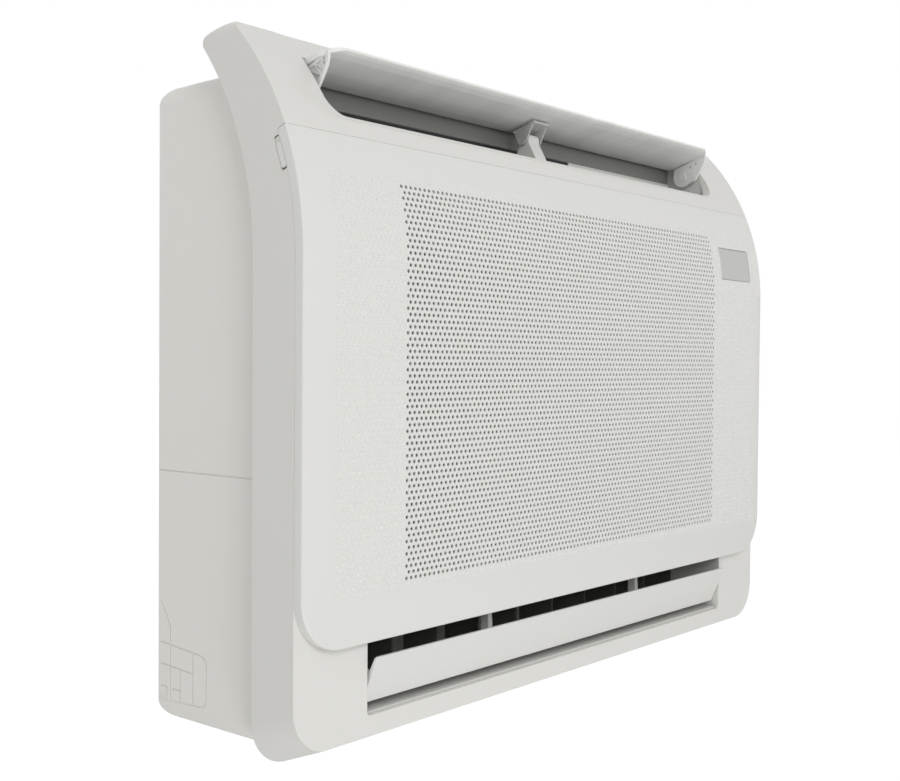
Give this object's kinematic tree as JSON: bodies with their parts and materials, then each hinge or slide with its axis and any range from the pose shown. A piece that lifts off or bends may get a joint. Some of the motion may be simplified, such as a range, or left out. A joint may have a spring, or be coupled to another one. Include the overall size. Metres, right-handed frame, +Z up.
{
  "type": "air conditioner indoor unit",
  "caption": "Wall-hung console indoor unit with a bowed perforated front panel, a hooded top air outlet with an open louver, and a slim bottom outlet with a tilting vane.",
  "frame": {"origin": "centre of the wall bracket's flat back, on the wall plane", "axes": "+X to the unit's right as seen from the room, +Y from the room into the wall, +Z up"},
  "size_m": [0.794, 0.206, 0.621],
  "materials": {
    "white_plastic": "fine satin",
    "casing_plastic": "fine grain",
    "window_plastic": "smoked white",
    "clear_plastic": "clear",
    "duct_plastic": "matt",
    "black_plastic": "satin",
    "filter_plastic": "fine mesh",
    "foam_white": "foam",
    "board_green": "satin",
    "zinc_steel": "zinc coated",
    "screw_steel": "bright",
    "fin_aluminium": "bare fins",
    "copper": "drawn copper",
    "brass": "turned"
  },
  "bodies": {
    "housing": {"front_frame": "white_plastic", "rear_casing": "casing_plastic", "wall_bracket": "zinc_steel", "upper_duct": "duct_plastic", "lower_duct": "duct_plastic", "fan_shroud": "duct_plastic", "air_guide": "foam_white", "fan_motor": "zinc_steel", "motor_bracket": "zinc_steel", "louver_mid_support": "white_plastic", "evaporator_fins": "fin_aluminium", "evaporator_plate_left": "zinc_steel", "evaporator_plate_right": "zinc_steel", "evaporator_tube": "copper", "frame_screw_left_low": "screw_steel", "frame_screw_left_high": "screw_steel", "frame_screw_right_low": "screw_steel", "frame_screw_right_high": "screw_steel", "drain_pan": "foam_white", "drain_spout": "black_plastic", "control_box": "zinc_steel", "control_box_cover": "zinc_steel", "control_board": "board_green", "terminal_block": "black_plastic", "display_board": "board_green", "gas_pipe": "copper", "liquid_pipe": "copper", "gas_flare_nut": "brass", "liquid_flare_nut": "brass", "louver_motor": "zinc_steel", "vane_motor": "zinc_steel", "lower_swing_motor": "zinc_steel", "upper_swing_motor": "zinc_steel", "filter_rails": "white_plastic"},
    "panel": {"front_panel": "white_plastic", "display_window": "window_plastic"},
    "latch_left": {"panel_latch_left": "white_plastic"},
    "latch_right": {"panel_latch_right": "white_plastic"},
    "filter_left": {"filter_left": "filter_plastic"},
    "filter_right": {"filter_right": "filter_plastic"},
    "louver": {"top_louver": "white_plastic", "louver_saddle": "clear_plastic"},
    "vane": {"bottom_vane": "white_plastic"},
    "fan": {"fan_wheel": "duct_plastic", "fan_shaft": "screw_steel", "fan_nut": "brass"},
    "lower_blade_1": {"lower_swing_blade_1": "black_plastic"},
    "lower_blade_2": {"lower_swing_blade_2": "black_plastic"},
    "lower_blade_3": {"lower_swing_blade_3": "black_plastic"},
    "lower_blade_4": {"lower_swing_blade_4": "black_plastic"},
    "lower_blade_5": {"lower_swing_blade_5": "black_plastic"},
    "lower_blade_6": {"lower_swing_blade_6": "black_plastic"},
    "lower_blade_7": {"lower_swing_blade_7": "black_plastic"},
    "lower_blade_8": {"lower_swing_blade_8": "black_plastic"},
    "lower_blade_9": {"lower_swing_blade_9": "black_plastic"},
    "lower_link": {"lower_link_bar": "black_plastic"},
    "upper_blade_1": {"upper_swing_blade_1": "black_plastic"},
    "upper_blade_2": {"upper_swing_blade_2": "black_plastic"},
    "upper_blade_3": {"upper_swing_blade_3": "black_plastic"},
    "upper_link": {"upper_link_bar": "black_plastic"}
  },
  "joints": [
    {"name": "panel_hinge", "type": "hinge", "parent": "housing", "child": "panel", "pos_m": [0, -0.2004, -0.412], "axis": [1, 0, 0], "range_deg": [0, 25]},
    {"name": "latch_left_slide", "type": "slide", "parent": "housing", "child": "latch_left", "axis": [0, 0.3502, 0.9367], "range_m": [0, 0.005]},
    {"name": "latch_right_slide", "type": "slide", "parent": "housing", "child": "latch_right", "axis": [0, 0.3502, 0.9367], "range_m": [0, 0.005]},
    {"name": "filter_left_lift", "type": "slide", "parent": "housing", "child": "filter_left", "axis": [0, 0, 1], "range_m": [0, 0.012]},
    {"name": "filter_right_lift", "type": "slide", "parent": "housing", "child": "filter_right", "axis": [0, 0, 1], "range_m": [0, 0.012]},
    {"name": "louver_hinge", "type": "hinge", "parent": "housing", "child": "louver", "pos_m": [0, -0.131, 0.0545], "axis": [1, 0, 0], "range_deg": [0, 71.8]},
    {"name": "vane_hinge", "type": "hinge", "parent": "housing", "child": "vane", "pos_m": [0, -0.184, -0.446], "axis": [1, 0, 0], "range_deg": [-22, 25]},
    {"name": "fan_spin", "type": "hinge", "parent": "housing", "child": "fan", "pos_m": [0, -0.0895, -0.2], "axis": [0, 1, 0], "continuous": true},
    {"name": "lower_swing", "type": "hinge", "parent": "housing", "child": "lower_blade_1", "pos_m": [-0.248, -0.132, -0.45], "axis": [0, 0, 1], "range_deg": [-30, 30]},
    {"name": "lower_swing_2", "type": "hinge", "parent": "housing", "child": "lower_blade_2", "pos_m": [-0.186, -0.132, -0.45], "axis": [0, 0, 1], "range_deg": [-30, 30]},
    {"name": "lower_swing_3", "type": "hinge", "parent": "housing", "child": "lower_blade_3", "pos_m": [-0.124, -0.132, -0.45], "axis": [0, 0, 1], "range_deg": [-30, 30]},
    {"name": "lower_swing_4", "type": "hinge", "parent": "housing", "child": "lower_blade_4", "pos_m": [-0.062, -0.132, -0.45], "axis": [0, 0, 1], "range_deg": [-30, 30]},
    {"name": "lower_swing_5", "type": "hinge", "parent": "housing", "child": "lower_blade_5", "pos_m": [0, -0.132, -0.45], "axis": [0, 0, 1], "range_deg": [-30, 30]},
    {"name": "lower_swing_6", "type": "hinge", "parent": "housing", "child": "lower_blade_6", "pos_m": [0.062, -0.132, -0.45], "axis": [0, 0, 1], "range_deg": [-30, 30]},
    {"name": "lower_swing_7", "type": "hinge", "parent": "housing", "child": "lower_blade_7", "pos_m": [0.124, -0.132, -0.45], "axis": [0, 0, 1], "range_deg": [-30, 30]},
    {"name": "lower_swing_8", "type": "hinge", "parent": "housing", "child": "lower_blade_8", "pos_m": [0.186, -0.132, -0.45], "axis": [0, 0, 1], "range_deg": [-30, 30]},
    {"name": "lower_swing_9", "type": "hinge", "parent": "housing", "child": "lower_blade_9", "pos_m": [0.248, -0.132, -0.45], "axis": [0, 0, 1], "range_deg": [-30, 30]},
    {"name": "lower_link_pin", "type": "hinge", "parent": "lower_blade_1", "child": "lower_link", "pos_m": [-0.248, -0.154, -0.413], "axis": [0, 0, 1], "range_deg": [-30, 30]},
    {"name": "upper_swing", "type": "hinge", "parent": "housing", "child": "upper_blade_1", "pos_m": [-0.16, -0.106, 0], "axis": [0, 1, 0], "range_deg": [-30, 30]},
    {"name": "upper_swing_2", "type": "hinge", "parent": "housing", "child": "upper_blade_2", "pos_m": [0, -0.106, 0], "axis": [0, 1, 0], "range_deg": [-30, 30]},
    {"name": "upper_swing_3", "type": "hinge", "parent": "housing", "child": "upper_blade_3", "pos_m": [0.16, -0.106, 0], "axis": [0, 1, 0], "range_deg": [-30, 30]},
    {"name": "upper_link_pin", "type": "hinge", "parent": "upper_blade_1", "child": "upper_link", "pos_m": [-0.16, -0.137, 0.01], "axis": [0, 1, 0], "range_deg": [-30, 30]}
  ],
  "couplings": [
    {"joint": "lower_swing_2", "follows": "lower_swing", "ratio": 1},
    {"joint": "lower_swing_3", "follows": "lower_swing", "ratio": 1},
    {"joint": "lower_swing_4", "follows": "lower_swing", "ratio": 1},
    {"joint": "lower_swing_5", "follows": "lower_swing", "ratio": 1},
    {"joint": "lower_swing_6", "follows": "lower_swing", "ratio": 1},
    {"joint": "lower_swing_7", "follows": "lower_swing", "ratio": 1},
    {"joint": "lower_swing_8", "follows": "lower_swing", "ratio": 1},
    {"joint": "lower_swing_9", "follows": "lower_swing", "ratio": 1},
    {"joint": "lower_link_pin", "follows": "lower_swing", "ratio": -1},
    {"joint": "upper_swing_2", "follows": "upper_swing", "ratio": 1},
    {"joint": "upper_swing_3", "follows": "upper_swing", "ratio": 1},
    {"joint": "upper_link_pin", "follows": "upper_swing", "ratio": -1}
  ]
}
